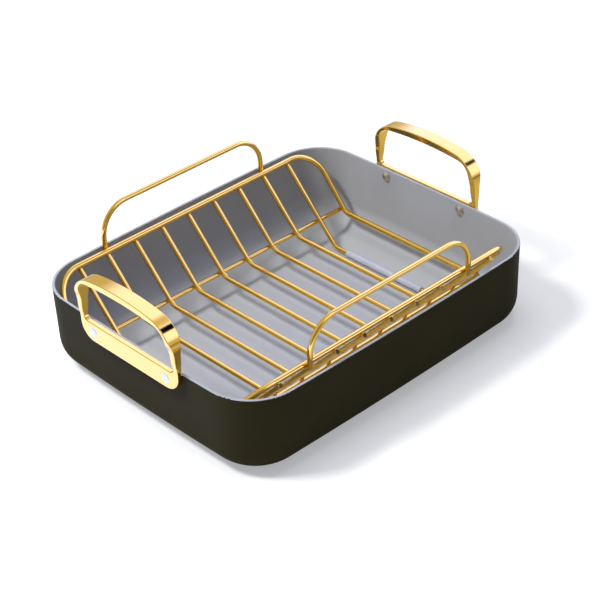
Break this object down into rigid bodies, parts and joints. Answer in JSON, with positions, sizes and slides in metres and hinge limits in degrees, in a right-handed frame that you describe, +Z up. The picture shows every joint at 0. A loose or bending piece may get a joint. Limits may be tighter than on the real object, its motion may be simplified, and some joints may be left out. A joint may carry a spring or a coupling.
{
  "type": "roasting pan with rack",
  "caption": "Rectangular roasting pan with two riveted upright handles and a loose V-shaped wire rack with carrying bars and sleeved feet.",
  "frame": {"origin": "middle of the pan's flat base, on the surface that the pan stands on", "axes": "+X along the pan's long side, through its two riveted handles; +Y across it; +Z up"},
  "size_m": [0.4282, 0.3284, 0.151],
  "materials": {
    "coated_aluminium": "satin",
    "gold_steel": "polished",
    "rivet_steel": "satin",
    "clear_silicone": "satin"
  },
  "bodies": {
    "pan": {"pan_body": "coated_aluminium", "left_pan_handle": "gold_steel", "right_pan_handle": "gold_steel", "left_front_rivet": "rivet_steel", "left_back_rivet": "rivet_steel", "right_front_rivet": "rivet_steel", "right_back_rivet": "rivet_steel"},
    "rack": {"rack_frame_wire": "gold_steel", "carrying_wire": "gold_steel", "cross_wire_3": "gold_steel", "cross_wire_4": "gold_steel", "cross_wire_5": "gold_steel", "cross_wire_6": "gold_steel", "cross_wire_7": "gold_steel", "left_foot_wire": "gold_steel", "right_foot_wire": "gold_steel", "front_side_wire": "gold_steel", "back_side_wire": "gold_steel", "left_foot_sleeve": "clear_silicone", "right_foot_sleeve": "clear_silicone"}
  },
  "joints": [
    {"name": "rack_lift", "type": "slide", "parent": "pan", "child": "rack", "axis": [0, 0, 1], "range_m": [0, 0.15]}
  ]
}
